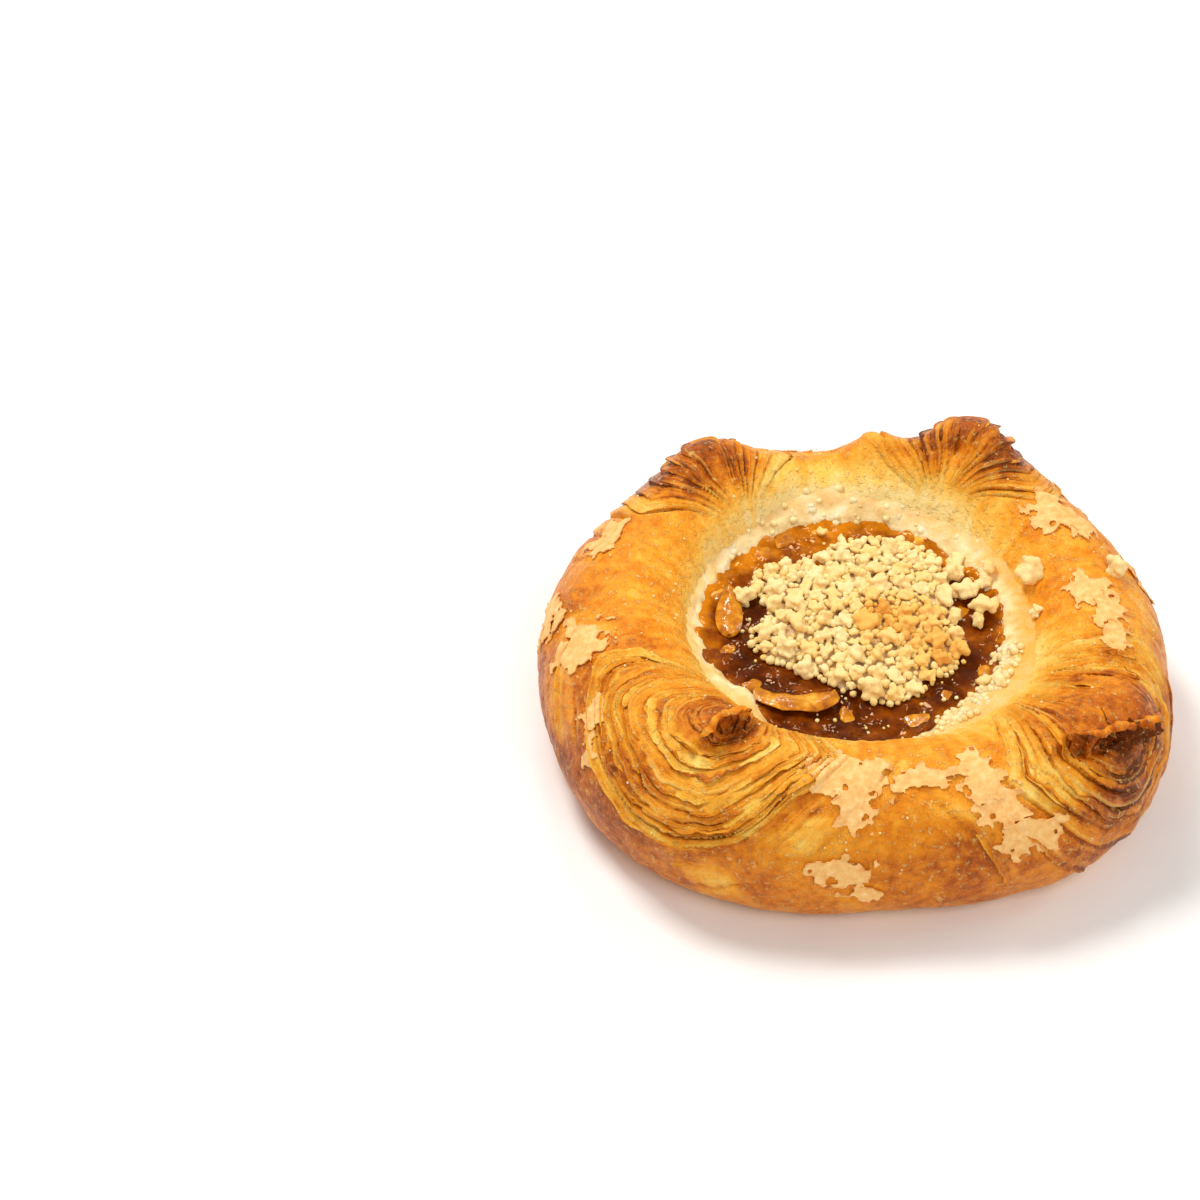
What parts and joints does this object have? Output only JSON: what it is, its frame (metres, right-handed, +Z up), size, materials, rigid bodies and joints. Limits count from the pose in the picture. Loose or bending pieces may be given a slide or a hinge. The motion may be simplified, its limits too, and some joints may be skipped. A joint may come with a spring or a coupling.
{
  "type": "danish pastry",
  "caption": "Square danish pastry: puffed layered dough case with folded corners, a curd-lined bowl of apple jam and a heap of butter crumble.",
  "frame": {"origin": "on the flat underside, under the middle of the bowl", "axes": "+Z up out of the bowl, -Y towards the front side, +X towards the right side"},
  "size_m": [0.113, 0.1031, 0.0378],
  "materials": {
    "baked_dough": "golden brown baked dough, paler in the bowl, with a soft egg-wash shine",
    "curd": "moist cream-coloured curd with a fine grain",
    "apple_jam": "glossy translucent amber brown",
    "butter_crumble": "matt pale yellow crumb, toasted in places",
    "cooked_apple": "glossy translucent orange"
  },
  "bodies": {
    "root": {"dough_case": "baked_dough", "curd_lining": "curd", "jam": "apple_jam", "crumble": "butter_crumble", "apple_slice_left": "cooked_apple", "apple_slice_front": "cooked_apple"}
  },
  "joints": []
}
